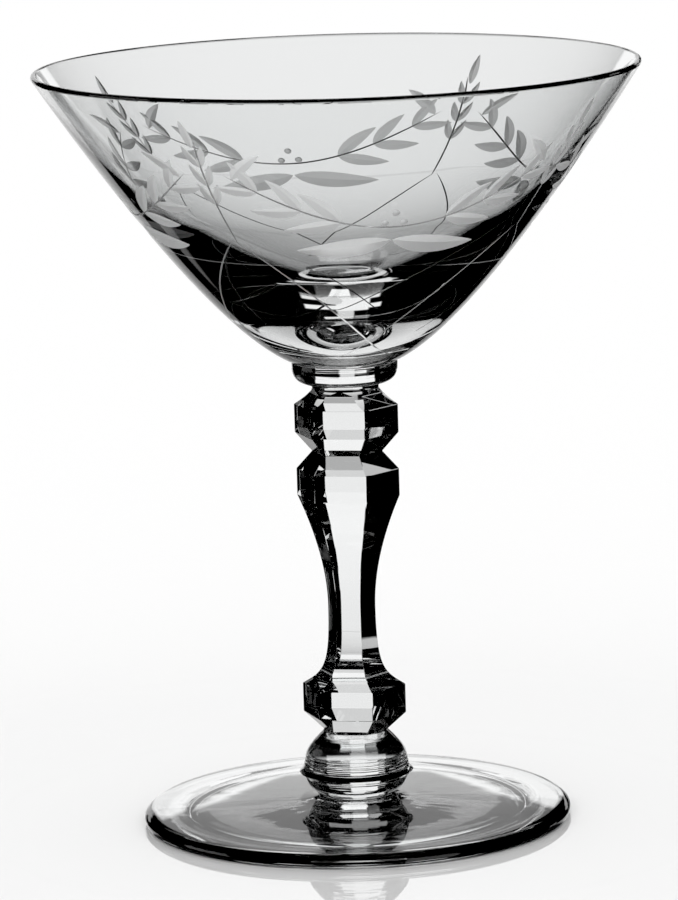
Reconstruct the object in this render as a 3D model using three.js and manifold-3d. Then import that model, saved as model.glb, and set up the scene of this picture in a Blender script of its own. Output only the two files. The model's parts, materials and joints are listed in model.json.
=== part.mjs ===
// Sherbet glass in clear crystal: a wide cupped bowl on a collar, a stem cut with six sides,
// a turned ball knop and a round foot. Millimetres, +Z up, origin in the middle of the plane
// that the foot rests on. The pieces meet face to face, where the hot glass was joined.
import * as THREE from 'three';
import { mergeVertices } from 'three/addons/utils/BufferGeometryUtils.js';
import Module from 'manifold-3d';

const wasm = await Module();
wasm.setup();

// Overall sizes
const rimDiameter = 98;
const footDiameter = 70;

// Heights of the five pieces, from the table up
const footHeight = 4.2;
const ballHeight = 10.4;
const stemHeight = 57.0;
const mereseHeight = 4.3;
const bowlHeight = 48.1;

// Where each piece starts
const ballBase = footHeight;
const stemBase = ballBase + ballHeight;
const mereseBase = stemBase + stemHeight;
const bowlBase = mereseBase + mereseHeight;

// Radii of the round necks that the pieces share
const ballFootNeck = 6.2;
const ballStemNeck = 5.2;
const stemMereseNeck = 5.43;

// Foot: edge thickness, the ring that it rests on, the hollow under it, and the sweep up to the knop
const foot = {
  edgeThickness: 2.2,
  edgeRounding: 1.1,
  restOuterInset: 1.0,
  restWidth: 6.0,
  hollowDepth: 1.0,
  hollowFloorRadius: 14,
  sweepRadius: 11.5,
  sweepHeight: 3.25,
};

// Ball knop: the thrown ridge, the undercut below it and the turned rings above
const ball = {
  ridgeRadius: 9.3,
  ridgeHeight: 3.6,
  lipRadius: 8.35,
  lipHeight: 2.7,
  bodyRadius: 8.55,
  bodyHeight: 5.0,
  shoulderRadius: 8.15,
  shoulderHeight: 6.8,
  ringCount: 3,
  ringDepth: 0.12,
  underShares: { radius: 0.8, height: 0.37 },
  topShares: { radius: 0.82, height: 0.36 },
};

// Cut stem: distance from the axis to the arrises (corner radii), heights over its foot end, and
// drops from its upper end for what is cut near the bowl
const facetCount = 6;
const facetTurn = Math.PI / facetCount - THREE.MathUtils.degToRad(10.3);
const stem = {
  lowerKnopRadius: 8.52,
  lowerKnopStart: 3.0,
  lowerKnopHeight: 4.7,
  narrowRadius: 3.92,
  narrowHeight: 20.7,
  shoulderRadius: 8.47,
  shoulderDrop: 13.5,
  shoulderHeight: 4.4,
  waistRadius: 5.8,
  waistDrop: 10.6,
  upperKnopRadius: 8.57,
  upperKnopDrop: 2.9,
  upperKnopHeight: 4.6,
  neckLength: 0.9,
  flareEndShares: { radius: 0.27, height: 0.15 },
  flareStartShare: 0.82,
  sweepShare: 0.446,
};

// Merese: the collar under the bowl and the round neck that carries it
const merese = {
  radius: 8.6,
  neckLength: 0.7,
  edgeHeight: 0.9,
};

// Bowl: wall, floor and the angles of the outline from the vertical. Inside, the thin wall turns
// into the thick floor at a knee, which lies a wall's thickness in from a place on the outside
const bowl = {
  baseRadius: 8.4,
  rimWall: 1.0,
  kneeWall: 2.05,
  floorThickness: 7.2,
  baseAngle: THREE.MathUtils.degToRad(67.5),
  rimAngle: THREE.MathUtils.degToRad(33.3),
  kneeTurn: THREE.MathUtils.degToRad(7.4),
  kneeShare: 0.63,
  outsideShares: { base: 0.181, rim: 0.393 },
  wallShares: { rim: 0.225, knee: 0.064 },
  floorShares: { knee: 0.24, middle: 0.128 },
};

// How finely curved runs and turns are divided: the longest chord on a curve, and steps round a turn
const wideChord = 4.5;
const narrowChord = 1.5;
const roundingSteps = 4;
const wideTurnSteps = 72;
const narrowTurnSteps = 48;

// A point on a line that leaves `from` at `angle` from the vertical
function alongSlope(from, angle, distance) {
  return new THREE.Vector2(
    from.x + Math.sin(angle) * distance,
    from.y + Math.cos(angle) * distance,
  );
}

// Points of an outline in radius and height: straight runs keep their ends, curves get even chords
function outlinePoints(path, longestChord) {
  const points = [path.curves[0].getPoint(0)];
  for (const run of path.curves) {
    const chords = run.isLineCurve ? 1 : Math.max(roundingSteps, Math.ceil(run.getLength() / longestChord));
    points.push(...run.getPoints(chords).slice(1));
  }
  return points;
}

// A closed turned body from an outline that starts and ends on the axis, standing up along Z
function turned(path, turnSteps, longestChord) {
  const geometry = new THREE.LatheGeometry(outlinePoints(path, longestChord), turnSteps);
  return geometry.rotateX(Math.PI / 2);
}

// The shared-vertex solid of a closed geometry
function solidOf(geometry) {
  const bare = geometry.clone();
  bare.deleteAttribute('normal');
  bare.deleteAttribute('uv');
  const merged = mergeVertices(bare);
  return new wasm.Manifold(new wasm.Mesh({
    numProp: 3,
    vertProperties: new Float32Array(merged.attributes.position.array),
    triVerts: new Uint32Array(merged.index.array),
  }));
}

// The geometry of a solid
function geometryOf(solid) {
  const mesh = solid.getMesh();
  const geometry = new THREE.BufferGeometry();
  geometry.setAttribute('position', new THREE.BufferAttribute(mesh.vertProperties, 3));
  geometry.setIndex(new THREE.BufferAttribute(mesh.triVerts, 1));
  geometry.computeVertexNormals();
  return geometry;
}

// Foot: resting ring, shallow hollow inside it, rounded edge and a low dome that sweeps up to the knop
function footGeometry() {
  const edge = footDiameter / 2;
  const restOuter = edge - foot.restOuterInset;
  const restInner = restOuter - foot.restWidth;
  const edgeTop = foot.edgeThickness - foot.edgeRounding / 2;
  const domeEdge = edge - foot.edgeRounding;
  const path = new THREE.Path();
  path.moveTo(0, foot.hollowDepth);
  path.lineTo(foot.hollowFloorRadius, foot.hollowDepth);
  path.quadraticCurveTo((foot.hollowFloorRadius + restInner) / 2, foot.hollowDepth, restInner, 0);
  path.lineTo(restOuter, 0);
  path.quadraticCurveTo(edge, 0, edge, foot.edgeThickness / 2);
  path.quadraticCurveTo(edge, edgeTop, domeEdge, foot.edgeThickness);
  path.lineTo(foot.sweepRadius, foot.sweepHeight);
  path.quadraticCurveTo(ballFootNeck, foot.sweepHeight, ballFootNeck, footHeight);
  path.lineTo(0, footHeight);
  return turned(path, wideTurnSteps, wideChord);
}

// Ball knop: round underside, lip, sharp ridge, ringed body and a round shoulder up to the stem
function ballGeometry() {
  const ringPitch = (ball.shoulderHeight - ball.bodyHeight) / ball.ringCount;
  const path = new THREE.Path();
  path.moveTo(0, 0);
  path.lineTo(ballFootNeck, 0);
  path.quadraticCurveTo(
    THREE.MathUtils.lerp(ballFootNeck, ball.lipRadius, ball.underShares.radius),
    ball.lipHeight * ball.underShares.height,
    ball.lipRadius, ball.lipHeight,
  );
  path.lineTo(ball.ridgeRadius, ball.ridgeHeight);
  path.quadraticCurveTo(
    ball.bodyRadius, (ball.ridgeHeight + ball.bodyHeight) / 2,
    ball.bodyRadius, ball.bodyHeight,
  );
  for (let ring = 1; ring <= ball.ringCount; ring++) {
    const share = ring / ball.ringCount;
    const radius = THREE.MathUtils.lerp(ball.bodyRadius, ball.shoulderRadius, share);
    const height = ball.bodyHeight + ring * ringPitch;
    path.lineTo(radius - ball.ringDepth, height - ringPitch / 2);
    path.lineTo(radius, height);
  }
  path.quadraticCurveTo(
    THREE.MathUtils.lerp(ballStemNeck, ball.shoulderRadius, ball.topShares.radius),
    THREE.MathUtils.lerp(ball.shoulderHeight, ballHeight, ball.topShares.height),
    ballStemNeck, ballHeight,
  );
  path.lineTo(0, ballHeight);
  return turned(path, narrowTurnSteps, narrowChord);
}

// Outline of the six flat cuts, at the arrises: lower knop, concave baluster, waist and upper knop
function cutOutline() {
  const lowerKnopTop = stem.lowerKnopStart + stem.lowerKnopHeight;
  const shoulderTop = stemHeight - stem.shoulderDrop;
  const shoulderBottom = shoulderTop - stem.shoulderHeight;
  const upperKnopTop = stemHeight - stem.upperKnopDrop;
  const upperKnopBottom = upperKnopTop - stem.upperKnopHeight;
  const flareLength = stem.narrowHeight - lowerKnopTop;
  const sweepLength = shoulderBottom - stem.narrowHeight;
  const flareDrop = stem.lowerKnopRadius - stem.narrowRadius;
  const neckCorner = stemMereseNeck / Math.cos(Math.PI / facetCount);
  const path = new THREE.Path();
  path.moveTo(0, 0);
  path.lineTo(ballStemNeck, 0);
  path.lineTo(stem.lowerKnopRadius, stem.lowerKnopStart);
  path.lineTo(stem.lowerKnopRadius, lowerKnopTop);
  path.bezierCurveTo(
    stem.narrowRadius + flareDrop * stem.flareEndShares.radius,
    lowerKnopTop + flareLength * stem.flareEndShares.height,
    stem.narrowRadius, stem.narrowHeight - flareLength * stem.flareStartShare,
    stem.narrowRadius, stem.narrowHeight,
  );
  path.quadraticCurveTo(
    stem.narrowRadius, stem.narrowHeight + sweepLength * stem.sweepShare,
    stem.shoulderRadius, shoulderBottom,
  );
  path.lineTo(stem.shoulderRadius, shoulderTop);
  path.lineTo(stem.waistRadius, stemHeight - stem.waistDrop);
  path.lineTo(stem.upperKnopRadius, upperKnopBottom);
  path.lineTo(stem.upperKnopRadius, upperKnopTop);
  path.lineTo(neckCorner, stemHeight - stem.neckLength);
  path.lineTo(neckCorner, stemHeight);
  path.lineTo(0, stemHeight);
  return path;
}

// Outline of the round blank that the facets are cut from: plain, with a round neck at its top
function blankOutline() {
  const upperKnopTop = stemHeight - stem.upperKnopDrop;
  const blankRadius = Math.max(stem.lowerKnopRadius, stem.shoulderRadius, stem.upperKnopRadius);
  const path = new THREE.Path();
  path.moveTo(0, 0);
  path.lineTo(blankRadius, 0);
  path.lineTo(blankRadius, upperKnopTop);
  path.quadraticCurveTo(stemMereseNeck, stemHeight - stem.neckLength, stemMereseNeck, stemHeight);
  path.lineTo(0, stemHeight);
  return path;
}

// Stem: the facets' body cut down to the round blank, so that they fade out at the neck
function stemGeometry() {
  const facets = solidOf(turned(cutOutline(), facetCount, narrowChord).rotateZ(facetTurn));
  const blank = solidOf(turned(blankOutline(), narrowTurnSteps, narrowChord));
  return geometryOf(facets.intersect(blank));
}

// Merese: a short neck, then a collar with a rounded underside and a sharp upper edge
function mereseGeometry() {
  const path = new THREE.Path();
  path.moveTo(0, 0);
  path.lineTo(stemMereseNeck, 0);
  path.lineTo(stemMereseNeck, merese.neckLength);
  path.quadraticCurveTo(merese.radius, merese.neckLength, merese.radius, mereseHeight - merese.edgeHeight);
  path.lineTo(merese.radius, mereseHeight);
  path.lineTo(0, mereseHeight);
  return turned(path, narrowTurnSteps, narrowChord);
}

// Bowl: one smooth curve outside, a rounded rim square to the wall, and inside a smooth wall that
// turns at the knee into the floor
function bowlGeometry() {
  const rimRounding = bowl.rimWall / 2;
  const rimCentre = new THREE.Vector2(rimDiameter / 2 - rimRounding, bowlHeight - rimRounding);
  const acrossWall = bowl.rimAngle - Math.PI / 2;
  const rimOutside = alongSlope(rimCentre, acrossWall, -rimRounding);
  const rimInside = alongSlope(rimCentre, acrossWall, rimRounding);
  const base = new THREE.Vector2(bowl.baseRadius, 0);
  const chord = base.distanceTo(rimOutside);
  const baseHandle = alongSlope(base, bowl.baseAngle, chord * bowl.outsideShares.base);
  const rimHandle = alongSlope(rimOutside, bowl.rimAngle, -chord * bowl.outsideShares.rim);
  const outside = new THREE.CubicBezierCurve(base, baseHandle, rimHandle, rimOutside);
  const way = outside.getTangent(bowl.kneeShare);
  const outsideAngle = Math.atan2(way.x, way.y);
  const kneeAngle = outsideAngle + bowl.kneeTurn;
  const knee = alongSlope(outside.getPoint(bowl.kneeShare), outsideAngle - Math.PI / 2, bowl.kneeWall);
  const wallStart = alongSlope(rimInside, bowl.rimAngle, -chord * bowl.wallShares.rim);
  const wallEnd = alongSlope(knee, kneeAngle, chord * bowl.wallShares.knee);
  const floorStart = alongSlope(knee, kneeAngle, -chord * bowl.floorShares.knee);
  const path = new THREE.Path();
  path.moveTo(0, 0);
  path.lineTo(base.x, base.y);
  path.curves.push(outside);
  path.currentPoint.copy(rimOutside);
  path.absarc(rimCentre.x, rimCentre.y, rimRounding, -bowl.rimAngle, Math.PI - bowl.rimAngle, false);
  path.bezierCurveTo(wallStart.x, wallStart.y, wallEnd.x, wallEnd.y, knee.x, knee.y);
  path.bezierCurveTo(
    floorStart.x, floorStart.y,
    chord * bowl.floorShares.middle, bowl.floorThickness,
    0, bowl.floorThickness,
  );
  return turned(path, wideTurnSteps, wideChord);
}

// Clear crystal, a shade different on each piece only where the glass is cut or thick
function crystal(colour, roughness) {
  const look = { color: colour, roughness, metalness: 0, transparent: true, opacity: 0.4 };
  return new THREE.MeshStandardMaterial(look);
}

function piece(name, geometry, material, height) {
  const mesh = new THREE.Mesh(geometry, material);
  mesh.name = name;
  mesh.position.z = height;
  return mesh;
}

const group = new THREE.Group();
group.add(
  piece('foot', footGeometry(), crystal('#eef2f1', 0.03), 0),
  piece('ball_knop', ballGeometry(), crystal('#e6eceb', 0.05), ballBase),
  piece('faceted_stem', stemGeometry(), crystal('#e9eeee', 0.02), stemBase),
  piece('merese', mereseGeometry(), crystal('#e6eceb', 0.03), mereseBase),
  piece('bowl', bowlGeometry(), crystal('#f1f5f4', 0.02), bowlBase),
);

export default group;
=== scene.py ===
# Clear crystal sherbet glass: a wide cut bowl, a collar, a six-sided stem, a turned ball and a
# round foot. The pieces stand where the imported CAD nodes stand, in metres, +Z up, and take
# their heights and outer sizes from those nodes.
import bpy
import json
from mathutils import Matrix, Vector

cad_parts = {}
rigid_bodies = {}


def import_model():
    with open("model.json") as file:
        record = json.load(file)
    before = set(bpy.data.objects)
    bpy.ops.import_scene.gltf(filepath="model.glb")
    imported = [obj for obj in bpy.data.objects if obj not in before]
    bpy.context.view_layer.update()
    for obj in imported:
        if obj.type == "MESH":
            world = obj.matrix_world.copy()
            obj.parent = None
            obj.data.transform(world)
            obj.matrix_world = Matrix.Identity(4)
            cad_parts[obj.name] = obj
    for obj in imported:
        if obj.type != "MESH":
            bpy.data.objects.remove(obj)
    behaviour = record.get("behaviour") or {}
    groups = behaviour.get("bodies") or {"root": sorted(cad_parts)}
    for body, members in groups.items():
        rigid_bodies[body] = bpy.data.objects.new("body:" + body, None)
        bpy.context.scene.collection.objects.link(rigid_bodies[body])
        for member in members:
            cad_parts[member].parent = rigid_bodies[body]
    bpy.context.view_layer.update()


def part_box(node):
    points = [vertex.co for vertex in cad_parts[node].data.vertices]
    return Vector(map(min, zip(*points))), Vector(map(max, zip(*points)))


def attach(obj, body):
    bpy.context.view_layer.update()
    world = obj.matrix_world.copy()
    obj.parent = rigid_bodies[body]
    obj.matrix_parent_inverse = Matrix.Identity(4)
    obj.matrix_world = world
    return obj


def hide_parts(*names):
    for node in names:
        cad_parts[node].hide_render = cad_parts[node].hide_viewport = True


bl_info = {
    "name": "Cut Crystal Sherbet Glass",
    "version": (1, 0, 0),
    "blender": (4, 5, 0),
    "location": "View3D > Sidebar > Sherbet Glass",
    "description": "Builds a clear crystal sherbet glass piece by piece on its CAD frame",
    "category": "Object",
}

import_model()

import json
import math
from bisect import bisect_left

import bmesh
import bpy
from bpy.props import FloatProperty, FloatVectorProperty, IntProperty, PointerProperty
from mathutils import Matrix, Vector

MM = 0.001
DEGREE = math.radians(1)
CAP_TOLERANCE = 1e-7
TURN_STEPS = 240


def linear(code):
    """Linear colour of an sRGB hex code such as 'f4f6f5'."""
    shares = [int(code[at:at + 2], 16) / 255 for at in (0, 2, 4)]
    channels = [s / 12.92 if s <= 0.04045 else ((s + 0.055) / 1.055) ** 2.4 for s in shares]
    return (*channels, 1.0)


# Frame sizes

def bottom_of(node):
    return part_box(node)[0][2]


def top_of(node):
    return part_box(node)[1][2]


def radius_of(node):
    low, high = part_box(node)
    return min(high[0] - low[0], high[1] - low[1]) / 2


# Settings that a user would change

def a_length(name, description, metres):
    return FloatProperty(name=name, description=description, default=metres, unit='LENGTH',
                         precision=5)


def an_angle(name, description, degrees):
    return FloatProperty(name=name, description=description, default=math.radians(degrees),
                         unit='ROTATION')


def a_colour(name, description, code):
    return FloatVectorProperty(name=name, description=description, default=linear(code)[:3],
                               subtype='COLOR', size=3, min=0, max=1)


class FootSizes(bpy.types.PropertyGroup):
    edge_thickness: a_length("Edge thickness", "Thickness of the foot at its rounded edge", 0.0022)
    edge_rounding: a_length("Edge rounding", "How far in from the edge the rounding starts", 0.0011)
    rest_outer_inset: a_length(
        "Resting ring inset", "From the edge in to the ring that touches the table", 0.001)
    rest_width: a_length("Resting ring width", "Width of the flat ring that touches the table", 0.006)
    hollow_depth: a_length("Hollow depth", "Depth of the shallow hollow under the foot", 0.001)
    hollow_radius: a_length("Hollow floor radius", "Radius of the flat middle of the hollow", 0.014)
    dome_rise: a_length("Dome rise", "How far the upper face bows up between edge and sweep", 0.0001)
    sweep_radius: a_length(
        "Sweep radius", "Where the upper face starts to sweep up to the ball", 0.0115)
    sweep_height: a_length("Sweep height", "Height of the upper face where the sweep starts", 0.00325)


class BallSizes(bpy.types.PropertyGroup):
    foot_neck: a_length("Foot neck radius", "Radius of the join between foot and ball", 0.0062)
    stem_neck: a_length("Stem neck radius", "Radius of the join between ball and stem", 0.0052)
    lip_radius: a_length("Lip radius", "Radius of the lip under the ridge", 0.00835)
    lip_height: a_length("Lip height", "Height of the lip over the foot join", 0.0027)
    ridge_height: a_length("Ridge height", "Height of the sharp ridge over the foot join", 0.0036)
    body_radius: a_length("Body radius", "Radius of the ball just over the ridge", 0.00855)
    body_height: a_length("Body height", "Height where the turned rings start", 0.005)
    shoulder_radius: a_length("Shoulder radius", "Radius where the turned rings end", 0.00815)
    shoulder_height: a_length("Shoulder height", "Height where the turned rings end", 0.0068)
    ring_count: IntProperty(
        name="Turned rings", description="Number of fine rings turned round the ball",
        default=3, min=1, max=6)
    ring_depth: a_length("Ring depth", "Depth of each turned ring", 0.00009)


class StemSizes(bpy.types.PropertyGroup):
    lower_knop_radius: a_length(
        "Lower knop radius", "From the axis to the arrises of the lower knop", 0.00852)
    lower_knop_start: a_length("Lower knop start", "Height of the lower knop's first edge", 0.003)
    lower_knop_height: a_length(
        "Lower knop height", "Height of the lower knop's upright facets", 0.0047)
    narrow_radius: a_length(
        "Narrowest radius", "From the axis to the arrises at the narrowest place", 0.00392)
    narrow_height: a_length(
        "Narrowest height", "Height of the narrowest place over the ball join", 0.0207)
    shoulder_radius: a_length(
        "Baluster shoulder radius", "Arris radius at the top of the baluster", 0.00847)
    shoulder_drop: a_length(
        "Baluster shoulder drop", "From the stem's top down to the shoulder's edge", 0.0135)
    shoulder_height: a_length(
        "Baluster shoulder height", "Height of the shoulder's upright facets", 0.0044)
    waist_radius: a_length(
        "Waist radius", "Arris radius of the waist between baluster and knop", 0.0058)
    waist_drop: a_length("Waist drop", "From the stem's top down to the waist", 0.0106)
    upper_knop_radius: a_length(
        "Upper knop radius", "From the axis to the arrises of the upper knop", 0.00857)
    upper_knop_drop: a_length(
        "Upper knop drop", "From the stem's top down to the upper knop's edge", 0.0029)
    upper_knop_height: a_length(
        "Upper knop height", "Height of the upper knop's upright facets", 0.0046)
    neck_radius: a_length("Neck radius", "Radius of the round neck under the collar", 0.00543)
    neck_length: a_length("Neck length", "Length of the straight neck under the collar", 0.0009)
    facet_turn: an_angle("Facet turn", "How far the six facets are turned round the axis", 49.7)
    edge_softening: a_length(
        "Arris softening", "Width of the polished softening along the cut edges", 0.00005)


class CollarSizes(bpy.types.PropertyGroup):
    neck_length: a_length("Neck length", "Straight neck under the collar", 0.0007)
    edge_height: a_length("Edge height", "Upright height of the collar's edge", 0.0009)
    joint_radius: a_length("Bowl joint radius", "Radius of the join between collar and bowl", 0.0084)


class BowlSizes(bpy.types.PropertyGroup):
    rim_wall: a_length("Rim wall", "Thickness of the wall at the rounded rim", 0.001)
    rim_angle: an_angle("Rim angle", "Slope of the wall at the rim, from the vertical", 33.3)
    base_angle: an_angle("Base angle", "Slope of the outside at the collar, from the vertical", 67.5)
    knee_share: FloatProperty(
        name="Knee place", description="Share of the outside curve where the wall turns to floor",
        default=0.63, min=0.1, max=0.9)
    knee_wall: a_length("Knee wall", "Thickness of the wall at that place", 0.00205)
    knee_turn: an_angle("Knee turn", "How much flatter than the outside the inside lies there", 7.4)
    floor_thickness: a_length("Floor thickness", "Glass under the middle of the bowl", 0.0072)


class CuttingSizes(bpy.types.PropertyGroup):
    swag_count: IntProperty(
        name="Swags", description="Leaf swags cut round the bowl", default=4, min=2, max=6)
    swag_turn: an_angle("Swag turn", "Angle of the first swag's middle, right of the front", 14)
    swag_top: a_length("Swag ends", "Height of the swags' ends under the rim", 0.0125)
    swag_dip: a_length("Swag dip", "How far a swag hangs between its ends", 0.0095)
    leaf_length: a_length("Leaf length", "Length of a leaf along the swag", 0.0096)
    leaf_width: a_length("Leaf width", "Width of a leaf", 0.0027)
    leaf_depth: a_length("Leaf depth", "Depth of a leaf's mitre cut", 0.00026)
    broad_drop: a_length(
        "Broad leaf drop", "From the swag's middle down to its broad pair of leaves", 0.0022)
    berry_radius: a_length("Berry radius", "Radius of a berry's hollow", 0.00065)
    berry_gap: a_length("Berry gap", "From the middle berry out to those beside it", 0.0015)
    berry_rise: a_length("Berry rise", "From the swag up to the middle berry", 0.0024)
    berry_step: a_length("Berry step", "How much lower the berries beside it lie", 0.0017)
    stalk_drop: a_length("Stalk foot", "From the swags' ends down to the stalk's foot", 0.0125)
    stalk_length: a_length("Stalk length", "Height of the stalk over a join", 0.018)
    ear_start: a_length("Ear start", "The ear's highest pair of leaves over the swags' ends", 0.001)
    ear_spacing: a_length("Ear spacing", "From one pair of the ear's leaves to the next", 0.0032)
    ear_tip: a_length("Ear tip", "The ear's end leaf over the swags' ends", 0.0042)
    arch_start: a_length("Arch start", "From the swags' ends down to the arches' tops", 0.0115)
    arch_drop: a_length("Arch drop", "How far the arches run down from there", 0.0215)
    line_width: a_length("Line width", "Width of the fine cut lines", 0.00034)
    line_depth: a_length("Line depth", "Depth of the fine cut lines", 0.0002)


class CrystalLook(bpy.types.PropertyGroup):
    tint: a_colour("Crystal tint", "Colour that the crystal gives light passing through", "fdfefe")
    refraction: FloatProperty(
        name="Refractive index", description="Refractive index of the crystal",
        default=1.52, min=1.0, max=2.5)
    ground_white: a_colour(
        "Ground glass white", "Colour of the grey-cut leaves, ground and unpolished", "f7f8f8")


class StageSettings(bpy.types.PropertyGroup):
    floor_radius: a_length("Floor radius", "Radius of the pale floor", 3.0)
    floor_white: a_colour("Floor white", "Colour of the floor, its gloss and the room", "ffffff")
    # Painted shade: colour of the dark sheet under the front of the foot, which only the glass shows
    painted_shade_black: a_colour("Painted shade black", "Colour of the black card under the foot", "454545")
    floor_gap: a_length("Floor gap", "Gap that keeps the floor clear of the resting ring", 0.00003)
    table_radius: a_length("Dark table radius", "Polished table that only the glass itself shows", 0.06)
    # Reach of the painted shade and the glowing painted light under the foot, which only the glass
    # shows
    painted_light_and_shade_radius: a_length(
        "Painted light and shade radius", "Reach of the black and white cards under the foot", 0.037)
    # Where the glowing painted light under the back of the foot starts, and how its edge runs
    painted_light_start: a_length(
        "Painted light start", "How far behind the axis the white paper under the foot starts", 0.021)
    painted_light_blur: a_length("Painted light edge", "Width over which the black card gives way to it", 0.003)
    painted_light_straight: a_length(
        "Painted light straight part", "Half the width over which the paper's edge runs straight", 0.012)
    sheen_radius: a_length("Floor sheen radius", "How far out the floor mirrors the glass", 0.11)
    card_middle: an_angle("Card middle", "Bearing of the white card's middle behind the glass", -6.5)
    card_half_width: an_angle("Card half width", "Half the angle that the white card takes up", 12)
    card_low: an_angle("Card lower edge", "Angle of the card's lower edge over the horizon", -55)
    card_high: an_angle("Card upper edge", "Angle of the card's upper edge over the horizon", 15)
    card_strength: FloatProperty(
        name="Card strength", description="How white the card is behind the glass",
        default=1.0, min=0)


class SherbetGlass(bpy.types.PropertyGroup):
    foot: PointerProperty(type=FootSizes)
    ball: PointerProperty(type=BallSizes)
    stem: PointerProperty(type=StemSizes)
    collar: PointerProperty(type=CollarSizes)
    bowl: PointerProperty(type=BowlSizes)
    cutting: PointerProperty(type=CuttingSizes)
    look: PointerProperty(type=CrystalLook)
    stage: PointerProperty(type=StageSettings)


# Outlines and turned forms

def outline(runs):
    """A form with one open outline in radius and height. A run is its points and its step count:
    two points are straight, three a plain curve, four a curve with both handles."""
    curve = bpy.data.curves.new("outline", 'CURVE')
    curve.dimensions = '3D'
    for points, steps in runs:
        start, *handles, end = [Vector((radius, 0.0, height)) for radius, height in points]
        if not handles:
            handles = [start.lerp(end, 1 / 3), start.lerp(end, 2 / 3)]
        elif len(handles) == 1:
            handles = [start.lerp(handles[0], 2 / 3), end.lerp(handles[0], 2 / 3)]
        spline = curve.splines.new('BEZIER')
        spline.bezier_points.add(1)
        spline.resolution_u = steps
        first, last = spline.bezier_points
        for point in (first, last):
            point.handle_left_type = point.handle_right_type = 'FREE'
        first.co = first.handle_left = start
        first.handle_right = handles[0]
        last.handle_left = handles[1]
        last.co = last.handle_right = end
    holder = bpy.data.objects.new("outline", curve)
    mesh = bpy.data.meshes.new_from_object(holder)
    form = bmesh.new()
    form.from_mesh(mesh)
    bmesh.ops.remove_doubles(form, verts=form.verts, dist=CAP_TOLERANCE)
    bpy.data.objects.remove(holder)
    bpy.data.meshes.remove(mesh)
    bpy.data.curves.remove(curve)
    return form


def straight(*points):
    """Straight runs from each point to the next."""
    return [([start, end], 1) for start, end in zip(points, points[1:])]


def turned(runs, steps, turn=0.0):
    """A closed form turned round the axis from an outline that starts and ends on it."""
    form = outline(runs)
    bmesh.ops.spin(form, geom=form.verts[:] + form.edges[:], cent=(0, 0, 0), axis=(0, 0, 1),
                   dvec=(0, 0, 0), angle=math.tau, steps=steps, use_merge=True,
                   use_duplicate=False)
    bmesh.ops.remove_doubles(form, verts=form.verts, dist=CAP_TOLERANCE)
    bmesh.ops.recalc_face_normals(form, faces=form.faces)
    if turn:
        bmesh.ops.rotate(form, cent=(0, 0, 0), matrix=Matrix.Rotation(turn, 3, 'Z'),
                         verts=form.verts)
    return form


def sides_of(turn):
    """The outward directions of the six cut sides."""
    middles = [turn + (30 + 60 * side) * DEGREE for side in range(6)]
    return [Vector((math.cos(angle), math.sin(angle), 0.0)) for angle in middles]


def mark_joints(form, joints):
    """Gives the faces that meet the next piece, in a level plane, the second material, the fused
    joint. A joint is its height and radius, and its corners' turn where it has six sides."""
    for face in form.faces:
        middle = face.calc_center_median()
        for height, radius, *turn in joints:
            if turn:
                reach = max(middle.dot(side) for side in sides_of(*turn))
                inside = reach < radius * math.cos(30 * DEGREE) - CAP_TOLERANCE
            else:
                inside = middle.xy.length < radius
            if inside and all(abs(vert.co.z - height) < CAP_TOLERANCE for vert in face.verts):
                face.material_index = 1
                face.smooth = False


def score_cap(form, height, radius, turn):
    """Splits a level round cap along the six sides of the piece that stands on it."""
    for side in sides_of(turn):
        cap = [face for face in form.faces
               if all(abs(vert.co.z - height) < CAP_TOLERANCE for vert in face.verts)]
        parts = set(cap)
        for face in cap:
            parts.update(face.edges, face.verts)
        bmesh.ops.bisect_plane(form, geom=list(parts), dist=CAP_TOLERANCE, plane_no=side,
                               plane_co=side * radius * math.cos(30 * DEGREE))


def placed(name, form, materials, tools=None):
    """A piece at the origin from a form, with its materials, or one in a collection of tools."""
    mesh = bpy.data.meshes.new(name)
    form.to_mesh(mesh)
    form.free()
    for material in materials:
        mesh.materials.append(material)
    piece = bpy.data.objects.new(name, mesh)
    (tools or bpy.context.scene.collection).objects.link(piece)
    return piece


def smooth_round(mesh, angle):
    """Smooth shading that keeps every edge sharper than the angle."""
    mesh.shade_smooth()
    mesh.set_sharp_from_angle(angle=angle)


def combined(context, piece, tools, operation, materials='INDEX'):
    """Takes a collection of closed tools out of a piece, or keeps what both share, as its mesh."""
    context.scene.collection.children.link(tools)
    change = piece.modifiers.new("tools", 'BOOLEAN')
    change.operation = operation
    change.operand_type = 'COLLECTION'
    change.collection = tools
    change.solver = 'MANIFOLD'
    change.material_mode = materials
    ready = piece.evaluated_get(context.evaluated_depsgraph_get())
    mesh = bpy.data.meshes.new_from_object(ready)
    piece.modifiers.clear()
    plain = piece.data
    piece.data = mesh
    mesh.name = plain.name
    bpy.data.meshes.remove(plain)
    for tool in list(tools.objects):
        spent = tool.data
        bpy.data.objects.remove(tool)
        bpy.data.meshes.remove(spent)
    bpy.data.collections.remove(tools)


def declare(piece, node):
    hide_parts(node)
    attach(piece, "root")


# Materials

def add(tree, kind, feeds=(), **settings):
    """A new shader node. Feeds are pairs of an input's name or number and what it gets: a value,
    another node's output, or a node, which stands for its first output."""
    node = tree.nodes.new('ShaderNode' + kind)
    for name, value in settings.items():
        setattr(node, name, value)
    for key, value in feeds:
        if isinstance(value, bpy.types.Node):
            value = value.outputs[0]
        if isinstance(value, bpy.types.NodeSocket):
            tree.links.new(value, node.inputs[key])
        else:
            node.inputs[key].default_value = value
    return node


def new_material(name):
    material = bpy.data.materials.new(name)
    material.use_nodes = True
    tree = material.node_tree
    tree.nodes.clear()
    return material, tree


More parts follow.
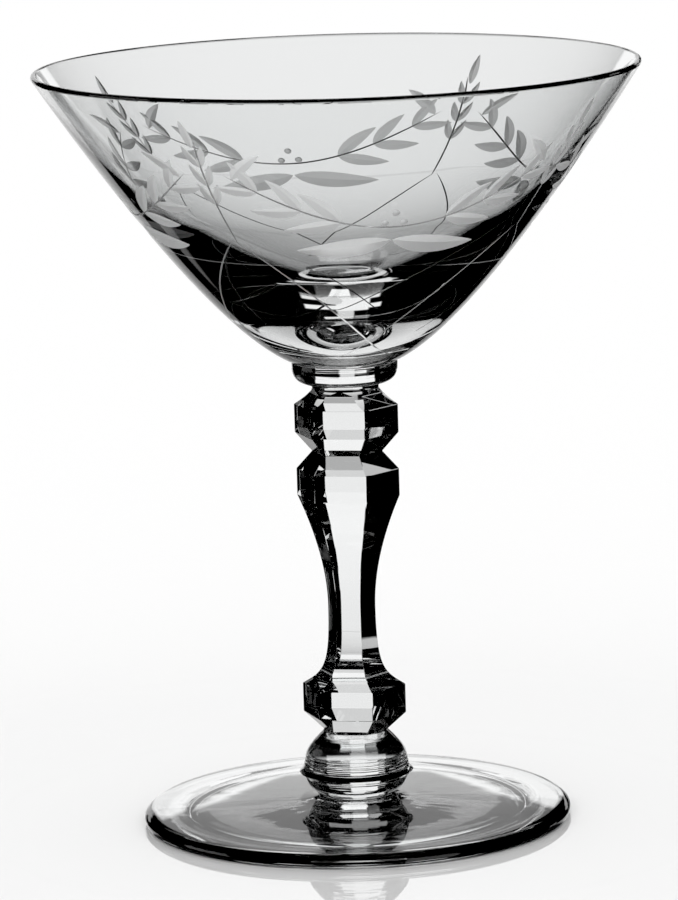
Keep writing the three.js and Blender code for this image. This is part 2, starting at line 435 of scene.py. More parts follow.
def crystal(name, look, waves, detail, bumps, roughness=0.0, clear=1.0, tint=None, run=0):
    """Crystal that bends light at its real index and barely tints it. Waves are its noise's steps
    to the metre along each axis, and the bumps the noise's strength and depth. With a run, the
    noise follows the bearing from the axis, and that many steps to the metre outwards."""
    material, tree = new_material(name)
    place = add(tree, 'TexCoord').outputs['Object']
    if run:
        level = add(tree, 'VectorMath', [(0, place), (1, (1, 1, 0))], operation='MULTIPLY')
        outward = add(tree, 'VectorMath', [(0, level)], operation='NORMALIZE')
        place = add(tree, 'VectorMath', [(0, level), (1, (run, run, 0)), (2, outward)],
                    operation='MULTIPLY_ADD')
    waves = add(tree, 'Mapping', [('Vector', place), ('Scale', waves)])
    noise = add(tree, 'TexNoise', [('Vector', waves), ('Scale', 1.0), ('Detail', detail)])
    bump = add(tree, 'Bump', [('Strength', bumps[0]), ('Distance', bumps[1]), ('Height', noise)])
    surface = add(tree, 'BsdfPrincipled', [
        ('Base Color', (*(tint or look.tint), 1.0)), ('Transmission Weight', clear),
        ('IOR', look.refraction), ('Roughness', roughness), ('Normal', bump)])
    add(tree, 'OutputMaterial', [('Surface', surface)])
    return material


def fire_polished_foot(look):
    """Pressed and fire-polished crystal: glossy, with faint lines that run out from the middle,
    which the eye reads as glass that was spread with a tool, not cast in a mould. A line takes
    up some 16 degrees round the axis, and changes over 15 mm of its run."""
    return crystal("fire-polished crystal foot", look, (3.6, 3.6, 3.6), 1.0, (0.22, 0.12 * MM),
                   run=18)


def turned_crystal(look):
    """Crystal shaped hot against a tool: fine rings round the axis, about 0.8 mm apart, that
    break the bright bands into thin lines."""
    return crystal("tooled crystal", look, (12, 12, 1250), 2.0, (0.5, 0.06 * MM))


def cut_crystal(look):
    """Crystal cut on a wheel and polished: flat facets with a very slight wave from polishing,
    about 4 mm from crest to crest."""
    return crystal("cut and polished crystal", look, (260, 260, 260), 1.0, (0.3, 0.06 * MM))


def blown_crystal(look):
    """Blown and fire-polished crystal: a wall so smooth that only long, faint waves show, 11 mm
    apart up the wall and 33 mm round it."""
    return crystal("blown crystal bowl", look, (30, 30, 90), 1.5, (0.3, 0.12 * MM))


def polished_cut(look):
    """The fine lines: mitre cuts that were polished, so that they flash white or dark, over the
    marks of the stone, about 0.3 mm apart."""
    return crystal("polished mitre cut", look, (3000, 3000, 3000), 2.0, (0.5, 0.03 * MM),
                   roughness=0.12, clear=0.72)


def ground_cut(look):
    """The leaves: grey cutting left as the stone ground it, a satin white with fine grit marks,
    here about 0.15 mm apart so that they still show in the picture."""
    return crystal("grey-cut crystal leaf", look, (6500, 6500, 6500), 3.0, (0.6, 0.05 * MM),
                   roughness=0.36, clear=0.6, tint=look.ground_white)


def joint_material():
    """Where two gathers of hot glass were joined nothing shows, so light goes straight on."""
    ready = bpy.data.materials.get("fused joint")
    if ready:
        return ready
    material, tree = new_material("fused joint")
    add(tree, 'OutputMaterial', [('Surface', add(tree, 'BsdfTransparent'))])
    return material


# The pieces

class GLASS_OT_foot(bpy.types.Operator):
    """Builds the round foot with its low dome, rounded edge, resting ring and shallow hollow"""
    bl_idname = "glass.make_foot"
    bl_label = "Foot"

    def execute(self, context):
        glass = context.scene.sherbet_glass
        sizes, neck = glass.foot, glass.ball.foot_neck
        edge = radius_of("foot")
        top = top_of("foot")
        rest_outer = edge - sizes.rest_outer_inset
        rest_inner = rest_outer - sizes.rest_width
        hollow, middle = sizes.hollow_depth, sizes.hollow_radius
        thick, rounding = sizes.edge_thickness, sizes.edge_rounding
        dome_edge = edge - rounding
        sweep, rise = sizes.sweep_radius, sizes.sweep_height
        dome_middle = ((dome_edge + sweep) / 2, (thick + rise) / 2 + sizes.dome_rise)
        # The hollow's ceiling stays level until close to the resting ring
        form = turned([
            ([(0, hollow), (middle, hollow)], 4),
            ([(middle, hollow), (middle + (rest_inner - middle) * 0.9, hollow),
              (middle + (rest_inner - middle) * 0.93, hollow * 0.4), (rest_inner, 0)], 32),
            ([(rest_inner, 0), (rest_outer, 0)], 2),
            ([(rest_outer, 0), (edge, 0), (edge, thick / 2)], 8),
            ([(edge, thick / 2), (edge, thick - rounding / 2), (dome_edge, thick)], 8),
            ([(dome_edge, thick), dome_middle, (sweep, rise)], 20),
            ([(sweep, rise), (neck, rise), (neck, top)], 18),
            ([(neck, top), (0, top)], 2),
        ], TURN_STEPS)
        mark_joints(form, [(top, neck)])
        piece = placed("round_foot", form, [fire_polished_foot(glass.look), joint_material()])
        smooth_round(piece.data, 30 * DEGREE)
        declare(piece, "foot")
        return {'FINISHED'}


class GLASS_OT_ball(bpy.types.Operator):
    """Builds the turned ball with its underside, sharp ridge, fine rings and shoulder"""
    bl_idname = "glass.make_ball"
    bl_label = "Ball"

    def execute(self, context):
        glass = context.scene.sherbet_glass
        sizes = glass.ball
        base, top = bottom_of("ball_knop"), top_of("ball_knop")
        ridge = radius_of("ball_knop")
        lip = (sizes.lip_radius, base + sizes.lip_height)
        body = (sizes.body_radius, base + sizes.body_height)
        shoulder = (sizes.shoulder_radius, base + sizes.shoulder_height)
        under = (sizes.foot_neck + (lip[0] - sizes.foot_neck) * 0.8,
                 base + sizes.lip_height * 0.37)
        over = (sizes.stem_neck + (shoulder[0] - sizes.stem_neck) * 0.82,
                shoulder[1] + (top - shoulder[1]) * 0.36)
        ridge_point = (ridge, base + sizes.ridge_height)
        runs = [
            ([(0, base), (sizes.foot_neck, base)], 2),
            ([(sizes.foot_neck, base), under, lip], 12),
            ([lip, ridge_point], 2),
            ([ridge_point, (body[0], (ridge_point[1] + body[1]) / 2), body], 10),
        ]
        last = body
        for ring in range(1, sizes.ring_count + 1):
            share = ring / sizes.ring_count
            here = (body[0] + (shoulder[0] - body[0]) * share,
                    body[1] + (shoulder[1] - body[1]) * share)
            groove = (here[0] - sizes.ring_depth, (last[1] + here[1]) / 2)
            runs += [([last, (groove[0], last[1]), groove], 3), ([groove, here], 2)]
            last = here
        runs += [
            ([shoulder, over, (sizes.stem_neck, top)], 18),
            ([(sizes.stem_neck, top), (0, top)], 2),
        ]
        form = turned(runs, TURN_STEPS)
        turn = glass.stem.facet_turn
        score_cap(form, top, sizes.stem_neck, turn)
        mark_joints(form, [(base, sizes.foot_neck), (top, sizes.stem_neck * 1.001, turn)])
        piece = placed("turned_ball", form, [turned_crystal(glass.look), joint_material()])
        smooth_round(piece.data, 38 * DEGREE)
        declare(piece, "ball_knop")
        return {'FINISHED'}


class GLASS_OT_stem(bpy.types.Operator):
    """Builds the stem: six cut sides with two knops and a concave baluster, and a round neck"""
    bl_idname = "glass.make_stem"
    bl_label = "Stem"

    def execute(self, context):
        glass = context.scene.sherbet_glass
        sizes = glass.stem
        base, top = bottom_of("faceted_stem"), top_of("faceted_stem")
        knop_low = base + sizes.lower_knop_start
        knop_high = knop_low + sizes.lower_knop_height
        narrow = base + sizes.narrow_height
        shoulder_high = top - sizes.shoulder_drop
        shoulder_low = shoulder_high - sizes.shoulder_height
        upper_high = top - sizes.upper_knop_drop
        upper_low = upper_high - sizes.upper_knop_height
        waist, neck_start = top - sizes.waist_drop, top - sizes.neck_length
        knop, slim, shoulder = sizes.lower_knop_radius, sizes.narrow_radius, sizes.shoulder_radius
        upper, neck = sizes.upper_knop_radius, sizes.neck_radius
        corner = neck / math.cos(math.pi / 6)
        flare, sweep = narrow - knop_high, shoulder_low - narrow
        form = turned([
            *straight((0, base), (glass.ball.stem_neck, base), (knop, knop_low), (knop, knop_high)),
            ([(knop, knop_high), (slim + (knop - slim) * 0.27, knop_high + flare * 0.15),
              (slim, narrow - flare * 0.82), (slim, narrow)], 40),
            ([(slim, narrow), (slim, narrow + sweep * 0.446), (shoulder, shoulder_low)], 40),
            *straight((shoulder, shoulder_low), (shoulder, shoulder_high),
                      (sizes.waist_radius, waist), (upper, upper_low), (upper, upper_high),
                      (corner, neck_start), (corner, top), (0, top)),
        ], 6, sizes.facet_turn)
        arrises = [edge for edge in form.edges
                   if edge.calc_face_angle(0) > 20 * DEGREE
                   and all(base + CAP_TOLERANCE < vert.co.z < top - CAP_TOLERANCE
                           for vert in edge.verts)]
        bmesh.ops.bevel(form, geom=arrises, offset=sizes.edge_softening, segments=1, profile=0.5,
                        affect='EDGES', material=-1, clamp_overlap=True)
        piece = placed("cut_stem", form, [cut_crystal(glass.look), joint_material()])
        # The six sides are cut from a slightly wider round blank, which stays round at the neck
        blank = knop * 1.03
        tools = bpy.data.collections.new("blank")
        placed("round blank", turned([
            *straight((0, base), (blank, base), (blank, upper_high), (upper, upper_high)),
            ([(upper, upper_high), (neck, neck_start), (neck, top)], 24),
            *straight((neck, top), (0, top)),
        ], TURN_STEPS), [], tools)
        combined(context, piece, tools, 'INTERSECT')
        smooth_round(piece.data, 6 * DEGREE)
        form = bmesh.new()
        form.from_mesh(piece.data)
        mark_joints(form, [(base, glass.ball.stem_neck * 1.001, sizes.facet_turn), (top, neck)])
        form.to_mesh(piece.data)
        form.free()
        declare(piece, "faceted_stem")
        return {'FINISHED'}


class GLASS_OT_collar(bpy.types.Operator):
    """Builds the collar under the bowl with its short neck"""
    bl_idname = "glass.make_collar"
    bl_label = "Collar"

    def execute(self, context):
        glass = context.scene.sherbet_glass
        sizes, neck = glass.collar, glass.stem.neck_radius
        base, top = bottom_of("merese"), top_of("merese")
        radius = radius_of("merese")
        shelf = base + sizes.neck_length
        edge = top - sizes.edge_height
        joint = sizes.joint_radius
        softening = (radius - joint) / 2
        form = turned([
            ([(0, base), (neck, base)], 2),
            ([(neck, base), (neck, shelf)], 2),
            ([(neck, shelf), (radius, shelf), (radius, edge)], 14),
            ([(radius, edge), (radius, top - softening)], 1),
            ([(radius, top - softening), (radius, top), (joint, top)], 4),
            ([(joint, top), (0, top)], 2),
        ], TURN_STEPS)
        mark_joints(form, [(base, neck), (top, joint)])
        piece = placed("round_collar", form, [turned_crystal(glass.look), joint_material()])
        smooth_round(piece.data, 38 * DEGREE)
        declare(piece, "merese")
        return {'FINISHED'}


# The bowl and its cutting

def along(start, angle, distance):
    """A point that leaves another at an angle from the vertical, in radius and height."""
    return (start[0] + math.sin(angle) * distance, start[1] + math.cos(angle) * distance)


def quarter(centre, radius, slope):
    """A quarter circle that starts out at a slope from the vertical, as a curve with handles."""
    reach = 0.5523 * radius
    first = along(centre, slope + math.pi / 2, radius)
    last = along(centre, slope, radius)
    return [first, along(first, slope, reach), along(last, slope + math.pi / 2, reach), last]


def on_curve(points, share):
    """The point at a share of a curve with two handles, and its slope from the vertical."""
    points = [Vector(point) for point in points]
    while len(points) > 2:
        points = [start.lerp(end, share) for start, end in zip(points, points[1:])]
    way = points[1] - points[0]
    return points[0].lerp(points[1], share), math.atan2(way.x, way.y)


def wall_runs(glass):
    """The bowl's outline: the outside run, the rounded rim and the two inside runs."""
    sizes = glass.bowl
    base, top = bottom_of("bowl"), top_of("bowl")
    rounding = sizes.rim_wall / 2
    centre = (radius_of("bowl") - rounding, top - rounding)
    outside = along(centre, sizes.rim_angle - math.pi / 2, -rounding)
    inside = along(centre, sizes.rim_angle - math.pi / 2, rounding)
    start = (glass.collar.joint_radius, base)
    chord = math.dist(start, outside)
    # The handles' lengths are shares of the outside's chord
    outer = [start, along(start, sizes.base_angle, chord * 0.181),
             along(outside, sizes.rim_angle, -chord * 0.393), outside]
    place, slope = on_curve(outer, sizes.knee_share)
    knee = along(place, slope - math.pi / 2, sizes.knee_wall)
    slope += sizes.knee_turn
    floor = (0, base + sizes.floor_thickness)
    wall = [inside, along(inside, sizes.rim_angle, -chord * 0.225),
            along(knee, slope, chord * 0.064), knee]
    pool = [knee, along(knee, slope, -chord * 0.24),
            (chord * 0.128, floor[1]), floor]
    rim = [quarter(centre, rounding, sizes.rim_angle),
           quarter(centre, rounding, sizes.rim_angle - math.pi / 2)]
    return outer, rim, wall, pool


class OuterWall:
    """Places points on the bowl's outside by the turn from the front and the height."""

    def __init__(self, outer):
        form = outline([(outer, 160)])
        points = sorted((vert.co.z, vert.co.x) for vert in form.verts)
        form.free()
        self.heights = [height for height, _ in points]
        self.radii = [radius for _, radius in points]

    def radius(self, height):
        at = bisect_left(self.heights, height, 1, len(self.heights) - 1)
        span = self.heights[at] - self.heights[at - 1]
        share = (height - self.heights[at - 1]) / span
        return self.radii[at - 1] + (self.radii[at] - self.radii[at - 1]) * share

    def slope(self, height):
        reach = 0.3 * MM
        return math.atan2(self.radius(height + reach) - self.radius(height - reach), 2 * reach)

    def point(self, turn, height):
        radius = self.radius(height)
        return Vector((radius * math.sin(turn), -radius * math.cos(turn), height))

    def outward(self, turn, height):
        slope = self.slope(height)
        level = math.cos(slope)
        return Vector((level * math.sin(turn), -level * math.cos(turn), -math.sin(slope)))


def mitre_cutter(wall, path, half_width, depth, shape, cuts):
    """A V-edged cutter laid along a path on the wall. Path and shape take a share from -1 to 1;
    shape is the share of the full depth there, and the width of the cut follows its depth."""
    lift = 0.8 * MM
    spread = lift * half_width / depth
    form = bmesh.new()
    bmesh.ops.create_cone(form, cap_ends=True, segments=4, radius1=1, radius2=1, depth=2)
    long_edges = [edge for edge in form.edges
                  if abs(edge.verts[0].co.z - edge.verts[1].co.z) > 1]
    bmesh.ops.subdivide_edges(form, edges=long_edges, cuts=cuts, use_grid_fill=True)
    for vert in form.verts:
        share, across, over = vert.co.z, vert.co.x, vert.co.y
        turn, height = path(share)
        reach = 0.01
        before = wall.point(*path(share - reach))
        after = wall.point(*path(share + reach))
        outward = wall.outward(turn, height)
        sideways = outward.cross(after - before).normalized()
        sink = depth * shape(share) - 0.01 * MM
        vert.co = (wall.point(turn, height) + sideways * (across * spread)
                   + outward * (lift * (1 + over) - sink))
    return form


def leaf_shape(share):
    """Full near the stalk, fine towards the tip."""
    return max(0.0, 1 - share * share) ** 0.8 * (1 - 0.28 * share)


def line_shape(share):
    """Even along its length, with a short run-out at both ends."""
    return 1 - abs(share) ** 10


class Cutting:
    """Collects the cutters of the leaves, lines and berries that are taken out of the bowl."""

    def __init__(self, wall, sizes, leaf_finish, line_finish):
        self.wall = wall
        self.sizes = sizes
        self.leaf_finish = leaf_finish
        self.line_finish = line_finish
        self.cutters = bpy.data.collections.new("cutters")

    def line(self, path, cuts, share=1.0):
        form = mitre_cutter(self.wall, path, self.sizes.line_width * share / 2,
                            self.sizes.line_depth * share, line_shape, cuts)
        placed("line cutter", form, [self.line_finish], self.cutters)

    def leaf(self, turn, height, lean, long, wide, bend, deep=1.0):
        """A leaf whose stalk end is at the turn and height, leaning from level by an angle. Long,
        wide and deep are shares of the usual leaf, and bend is a share of its own length."""
        wall = self.wall
        length = self.sizes.leaf_length * long

        def path(share):
            far = (share + 1) / 2 * length
            off = bend * length * ((share + 1) / 2) ** 2
            level = far * math.cos(lean) - off * math.sin(lean)
            rise = far * math.sin(lean) + off * math.cos(lean)
            here = height + rise * math.cos(wall.slope(height))
            return turn + level / wall.radius((height + here) / 2), here

        form = mitre_cutter(wall, path, self.sizes.leaf_width * wide / 2,
                            self.sizes.leaf_depth * deep, leaf_shape, 14)
        placed("leaf cutter", form, [self.leaf_finish], self.cutters)

    def berry(self, turn, height, radius):
        """A small round hollow, ground with the edge of the stone."""
        depth = self.sizes.leaf_depth * 0.8
        ball = (radius ** 2 + depth ** 2) / (2 * depth)
        form = bmesh.new()
        bmesh.ops.create_icosphere(form, subdivisions=3, radius=ball)
        centre = self.wall.point(turn, height) + self.wall.outward(turn, height) * (ball - depth)
        bmesh.ops.translate(form, verts=form.verts, vec=centre)
        placed("berry cutter", form, [self.leaf_finish], self.cutters)


def garland(cutting, top):
    """Leaf swags with berries over their middles and ears over their joins, and arches of fine
    lines that cross under them."""
    sizes, wall = cutting.sizes, cutting.wall
    half = math.pi / sizes.swag_count
    span = half * 0.9
    ends = top - sizes.swag_top
    for swag in range(sizes.swag_count):
        middle = sizes.swag_turn + 2 * half * swag

        def hang(share):
            return middle + span * share, ends - sizes.swag_dip * (1 - share * share)

        cutting.line(hang, 40)
        for side in (-1, 1):
            for step in range(1, 4):
                share = side * (0.1 + 0.24 * step)
                turn, height = hang(share)
                slope = math.atan2(2 * sizes.swag_dip * share,
                                   span * wall.radius(height) * math.cos(wall.slope(height)))
                heading = slope if side > 0 else slope + math.pi
                fade = 1.06 - 0.1 * step
                for lean in (-side, side):
                    cutting.leaf(turn, height, heading + lean * 36 * DEGREE, fade, fade,
                                 -0.16 * lean)
            turn, height = hang(side * 0.95)
            cutting.leaf(turn, height, (90 + side * 38) * DEGREE, 0.8, 0.8, 0.2 * side)
        # The broad pair of leaves that crosses the middle of the swag, with its berries over it
        turn, height = hang(0.0)
        for side in (-1, 1):
            heading = (90 - side * 108) * DEGREE
            cutting.leaf(turn, height - sizes.broad_drop, heading, 1.55, 1.45, 0.2 * side, 1.25)
        for side in (-1, 0, 1):
            cutting.berry(turn + side * sizes.berry_gap / wall.radius(height),
                          height + sizes.berry_rise - abs(side) * sizes.berry_step,
                          sizes.berry_radius)
        # The stalk over each join, with its ear of small leaves
        join = middle + half

        def stalk(share):
            rise = (share + 1) / 2 * sizes.stalk_length
            return join + 0.02 * share * share, ends - sizes.stalk_drop + rise

        cutting.line(stalk, 20)
        for step in range(3):
            height = ends + sizes.ear_start - sizes.ear_spacing * step
            for side in (-1, 1):
                cutting.leaf(join, height, (90 - side * 30) * DEGREE, 0.5, 0.55, 0.15 * side)
        cutting.leaf(join, ends + sizes.ear_tip, math.pi / 2, 0.6, 0.62, 0.05)
        # Arches that run from one join under the next, crossing low on the bowl
        for side in (-1, 1):
            def arch(share):
                reach = (share + 1) / 2
                return (join + side * half * 1.5 * reach,
                        ends - sizes.arch_start - sizes.arch_drop * math.sin(reach * math.pi / 2))

            cutting.line(arch, 44, 0.9)


class GLASS_OT_bowl(bpy.types.Operator):
    """Builds the bowl with its rounded rim, thin wall and thick floor, and cuts its garland"""
    bl_idname = "glass.make_bowl"
    bl_label = "Bowl and cutting"

    def execute(self, context):
        glass = context.scene.sherbet_glass
        base, top = bottom_of("bowl"), top_of("bowl")
        outer, rim, wall, pool = wall_runs(glass)
        joint = glass.collar.joint_radius
        form = turned([
            ([(0, base), (joint, base)], 2),
            (outer, 60), (rim[0], 5), (rim[1], 5), (wall, 44), (pool, 48),
        ], TURN_STEPS)
        mark_joints(form, [(base, joint)])
        clear = blown_crystal(glass.look)
        leaf_finish, line_finish = ground_cut(glass.look), polished_cut(glass.look)
        piece = placed("cut_bowl", form, [clear, joint_material(), leaf_finish, line_finish])
        outside = OuterWall(outer)
        cutting = Cutting(outside, glass.cutting, leaf_finish, line_finish)
        garland(cutting, top)
        combined(context, piece, cutting.cutters, 'DIFFERENCE', 'TRANSFER')
        smooth_round(piece.data, 9 * DEGREE)
        self.true_wall(piece.data, outside)
        declare(piece, "bowl")
        return {'FINISHED'}

    def true_wall(self, mesh, outside):
        """Keeps the wall's own curvature in the shading round the cuts, whatever their edges."""
        margin, closeness = 0.4 * MM, 0.02 * MM
        low, high = outside.heights[0] + margin, outside.heights[-1] - margin
        normals = [Vector(corner.vector) for corner in mesh.corner_normals]
        for face in mesh.polygons:
            if face.material_index != 0:
                continue
            for loop in face.loop_indices:
                spot = mesh.vertices[mesh.loops[loop].vertex_index].co
                if not low < spot.z < high:
                    continue
                turn = math.atan2(spot.x, -spot.y)
                outward = outside.outward(turn, spot.z)
                if abs(spot.xy.length - outside.radius(spot.z)) < closeness \
                        and outward.dot(face.normal) > 0.5:
                    normals[loop] = outward
        mesh.normals_split_custom_set(normals)


# The stage

def floor_material(sizes):
    """A plain white table with a clear gloss: it mirrors the glass close to the foot. Seen
    through the glass it is the dark polished table of a bright-field set, with painted shade, a
    black sheet, under the front of the foot and painted light, a glowing white sheet, under its back."""
    material, tree = new_material("white gloss table")
    rays = add(tree, 'LightPath').outputs
    place = add(tree, 'TexCoord').outputs['Object']
    reach = add(tree, 'VectorMath', [(0, place)], operation='LENGTH').outputs['Value']
    white = (*sizes.floor_white, 1.0)
    matt = add(tree, 'BsdfDiffuse', [('Color', white)])
    fade = add(tree, 'MapRange', [
        ('Value', reach), ('From Min', sizes.sheen_radius * 0.55),
        ('From Max', sizes.sheen_radius), ('To Min', 1.0), ('To Max', 0.0)])
    gloss = add(tree, 'Fresnel', [('IOR', 3.6)])
    share = add(tree, 'Math', [(0, gloss), (1, fade)], operation='MULTIPLY')
    # A trace of blur, by which the world tells the floor's own mirror from the glass
    sheen = add(tree, 'BsdfGlossy', [('Color', white), ('Roughness', 0.015)])
    plain = add(tree, 'MixShader', [('Fac', share), (1, matt), (2, sheen)])
    # Under the foot, at a low angle: painted light, a glowing white sheet, from the back edge, and
    # painted shade, a black sheet, in front of it.
    # Beside its straight middle the edge of the painted light comes forward, 1.45 for each 1 that it
    # runs out
    painted_light_paper = add(tree, 'Emission', [('Color', white), ('Strength', 0.9)])
    # Painted shade: a dark glossy sheet under the front of the foot
    card = add(tree, 'BsdfGlossy', [('Color', (*sizes.painted_shade_black, 1.0)), ('Roughness', 0.2)])
    spot = add(tree, 'SeparateXYZ', [(0, place)]).outputs
    aside = add(tree, 'Math', [(0, spot['X'])], operation='ABSOLUTE')
    aside = add(tree, 'Math', [(0, aside), (1, sizes.painted_light_straight)], operation='SUBTRACT')
    aside = add(tree, 'Math', [(0, aside), (1, 0.0)], operation='MAXIMUM')
    back = add(tree, 'Math', [(0, aside), (1, 1.45), (2, spot['Y'])], operation='MULTIPLY_ADD')
    back = add(tree, 'MapRange', [
        ('Value', back), ('From Min', sizes.painted_light_start),
        ('From Max', sizes.painted_light_start + sizes.painted_light_blur)])
    split = add(tree, 'MixShader', [('Fac', back), (1, card), (2, painted_light_paper)])
    facing = add(tree, 'LayerWeight', [('Blend', 0.5)]).outputs['Facing']
    low = add(tree, 'MapRange', [('Value', facing), ('From Min', 0.5), ('From Max', 0.6)])
    covered = add(tree, 'Math', [(0, reach), (1, sizes.painted_light_and_shade_radius)], operation='LESS_THAN')
    share = add(tree, 'Math', [(0, low), (1, covered)], operation='MULTIPLY')
    mirror = add(tree, 'BsdfGlossy', [('Color', white), ('Roughness', 0.0)])
    under = add(tree, 'MixShader', [('Fac', share), (1, mirror), (2, split)])
    near = add(tree, 'Math', [(0, reach), (1, sizes.table_radius)], operation='LESS_THAN')
    through = add(tree, 'BsdfTransparent')
    polished = add(tree, 'MixShader', [('Fac', near), (1, through), (2, under)])
    seen = add(tree, 'Math', [(0, rays['Is Camera Ray']), (1, rays['Is Diffuse Ray'])],
               operation='MAXIMUM')
    either = add(tree, 'MixShader', [('Fac', seen), (1, polished), (2, plain)])
    add(tree, 'OutputMaterial', [('Surface', either)])
    return material


def card_light(tree, bearing, height, card):
    """The light a direction meets on a card: from its dim lower edge to its bright upper edge,
    soft at all its edges, and none beside it. The card's angles are in degrees."""
    *angles, dim, bright = card
    middle, half_width, low, high = [angle * DEGREE for angle in angles]
    off = add(tree, 'Math', [(0, bearing), (1, middle)], operation='SUBTRACT')
    off = add(tree, 'Math', [(0, off), (1, math.pi)], operation='PINGPONG')
    soft = 1.2 * DEGREE
    light = add(tree, 'MapRange', [('Value', height), ('From Min', low), ('From Max', high),
                                   ('To Min', dim), ('To Max', bright)])
    for value, edge, sign in ((off, half_width, -1), (height, low, 1), (height, high, -1)):
        part = add(tree, 'MapRange', [
            ('Value', value), ('From Min', edge), ('From Max', edge + sign * soft)])
        light = add(tree, 'Math', [(0, light), (1, part)], operation='MULTIPLY')
    return light


def studio_world(sizes):
    """A white room for the camera and for the floor. The glass bends and mirrors white cards in
    a dark room instead, which draws its outlines dark and its facets bright."""
    world = bpy.data.worlds.new("bright-field studio")
    world.use_nodes = True
    world.cycles.sampling_method = 'NONE'
    tree = world.node_tree
    tree.nodes.clear()
    way = add(tree, 'TexCoord').outputs['Generated']
    parts = add(tree, 'SeparateXYZ', [(0, way)]).outputs
    bearing = add(tree, 'Math', [(0, parts['X']), (1, parts['Y'])], operation='ARCTAN2')
    height = add(tree, 'Math', [(0, parts['Z'])], operation='ARCSINE')
    middle, half, low, high = [math.degrees(angle) for angle in (
        sizes.card_middle, sizes.card_half_width, sizes.card_low, sizes.card_high)]
    # Each card: the bearing of its middle, half its width, its lower and upper edge, and its
    # brightness at both
    cards = [
        # The sheet behind the glass, which fades as it runs down and forward over the table
        (middle, half, low, -28, 0.3, 0.5),
        (middle + 3, half * 1.7, -30, -14, 0.45, 0.9),
        (middle + 3, half * 1.7, -16, -2, 0.88, 0.95),
        (1, 25, -6.5, 0.5, 0.85, 0.9),
        # The low strip behind it that the foot mirrors towards its back edge
        (0, 26, 6, 12.5, 1.0, 1.0),
        (middle, half, -5, high, 0.95, 1.0),
        # The dimmer gap over it, and the lit ceiling that fills the knops' upper bevels
        (-2, 6.5, high - 2, 28, 0.74, 0.74),
        (3, 11.5, 26, 62, 1.0, 1.0),
        (-14, 6, 24, 45, 0.4, 0.5),
        # The strip beside the glass that draws white lines along the left arrises
        (52, 5, -1.5, 8, 0.8, 0.85),
        # The cards that stand behind the glass when it is seen from its sides and its back
        (-90, 16, -9, 20, 0.8, 0.95),
        (-45, 13, -37, -18, 0.5, 0.6),
        (140, 15, -30, 28, 0.8, 1.0),
    ]
    light = 0.0
    for card in cards:
        part = card_light(tree, bearing, height, card)
        light = add(tree, 'Math', [(0, light), (1, part)], operation='MAXIMUM')
    light = add(tree, 'Math', [(0, light), (1, sizes.card_strength)], operation='MULTIPLY')
    # The floor close to the foot mirrors the room, which is white as the floor itself is
    band = card_light(tree, bearing, height, (0, 180, 11.5, 17, 1.0, 1.0))
    rays = add(tree, 'LightPath').outputs
    glassy = add(tree, 'Math', [
        (0, rays['Transmission Depth']), (1, rays['Is Singular Ray'])], operation='ADD')
    bare = add(tree, 'Math', [(0, glassy), (1, 0.5)], operation='LESS_THAN')
    band = add(tree, 'Math', [(0, band), (1, bare)], operation='MULTIPLY')
    light = add(tree, 'Math', [(0, light), (1, band)], operation='MAXIMUM')
    room = add(tree, 'Math', [(0, rays['Is Camera Ray']), (1, rays['Is Diffuse Ray'])],
               operation='MAXIMUM')
    light = add(tree, 'Mix', [('Factor', room), ('A', light), ('B', 1.0)], data_type='FLOAT')
    sky = add(tree, 'Background', [('Color', (*sizes.floor_white, 1.0)), ('Strength', light)])
    add(tree, 'OutputWorld', [('Surface', sky)])
    return world


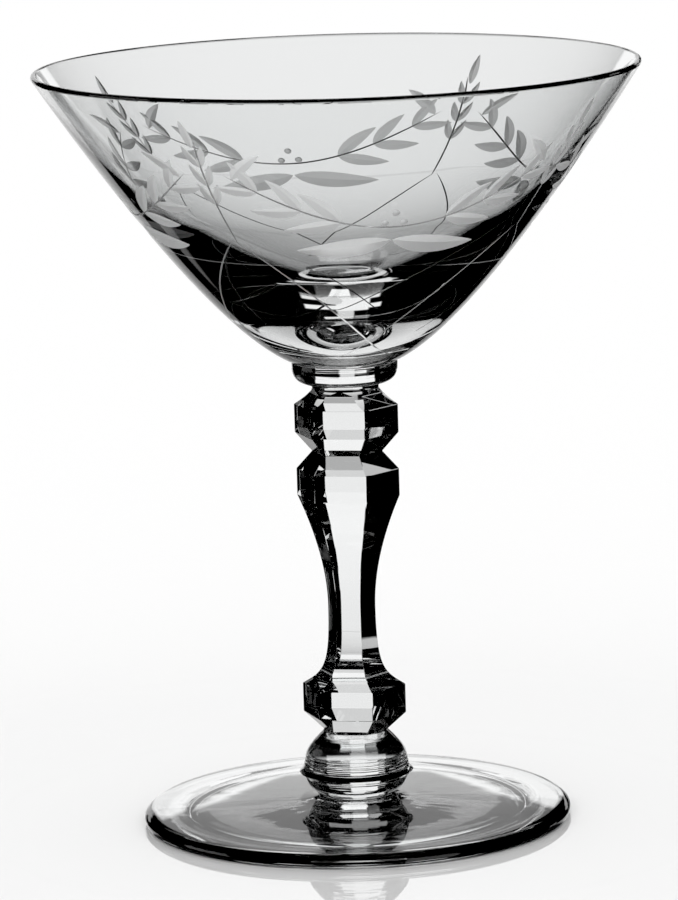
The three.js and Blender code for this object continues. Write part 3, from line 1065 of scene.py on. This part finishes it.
def photo_camera():
    """The camera at the photograph's place: its turn, tilt and roll fit the rim and the foot."""
    turn, tilt, roll = -0.0891 * DEGREE, 10.264 * DEGREE, -1.711 * DEGREE
    camera = bpy.data.cameras.new("photo camera")
    camera.sensor_fit = 'VERTICAL'
    camera.sensor_height = 24.0
    focal_pixels, picture_height = 5308.2, 900
    camera.lens = camera.sensor_height * focal_pixels / picture_height
    camera.clip_end = 20.0
    view = bpy.data.objects.new("photo camera", camera)
    view.matrix_world = (Matrix.Rotation(-turn, 4, 'Z') @ Matrix.Rotation(math.pi / 2 - tilt, 4, 'X')
                         @ Matrix.Rotation(roll, 4, 'Z'))
    view.location = (0.0, -0.8486, 0.2148)
    bpy.context.scene.collection.objects.link(view)
    return view


class GLASS_OT_stage(bpy.types.Operator):
    """Sets the pale floor, the soft studio light and the camera at the photograph's place"""
    bl_idname = "glass.make_stage"
    bl_label = "Floor, light and camera"

    def execute(self, context):
        scene = context.scene
        sizes = scene.sherbet_glass.stage
        form = bmesh.new()
        bmesh.ops.create_circle(form, cap_ends=True, segments=96, radius=sizes.floor_radius)
        bmesh.ops.translate(form, verts=form.verts, vec=(0, 0, -sizes.floor_gap))
        floor = placed("pale_floor", form, [floor_material(sizes)])
        scene.world = studio_world(sizes)
        scene.camera = photo_camera()
        scene.view_settings.view_transform = 'Standard'
        return {'FINISHED'}


# Panel and start

STEPS = ("make_stage", "make_foot", "make_ball", "make_stem", "make_collar", "make_bowl")


class GLASS_PT_panel(bpy.types.Panel):
    """Lists the settings and the steps that build the glass"""
    bl_idname = "GLASS_PT_panel"
    bl_label = "Sherbet Glass"
    bl_space_type = 'VIEW_3D'
    bl_region_type = 'UI'
    bl_category = "Sherbet Glass"

    def draw(self, context):
        glass = context.scene.sherbet_glass
        for group in SherbetGlass.__annotations__:
            box = self.layout.box()
            box.label(text=group.capitalize())
            settings = getattr(glass, group)
            for name in settings.__annotations__:
                box.prop(settings, name)
        for step in STEPS:
            self.layout.operator("glass." + step)


CLASSES = (FootSizes, BallSizes, StemSizes, CollarSizes, BowlSizes, CuttingSizes, CrystalLook,
           StageSettings, SherbetGlass, GLASS_OT_foot, GLASS_OT_ball, GLASS_OT_stem,
           GLASS_OT_collar, GLASS_OT_bowl, GLASS_OT_stage, GLASS_PT_panel)


def register():
    for kind in CLASSES:
        bpy.utils.register_class(kind)
    bpy.types.Scene.sherbet_glass = PointerProperty(type=SherbetGlass)


def unregister():
    del bpy.types.Scene.sherbet_glass
    for kind in reversed(CLASSES):
        bpy.utils.unregister_class(kind)


def plain(box):
    return [[float(value) for value in corner] for corner in box]


def main():
    register()
    for step in STEPS:
        getattr(bpy.ops.glass, step)()


if __name__ == "__main__":
    main()
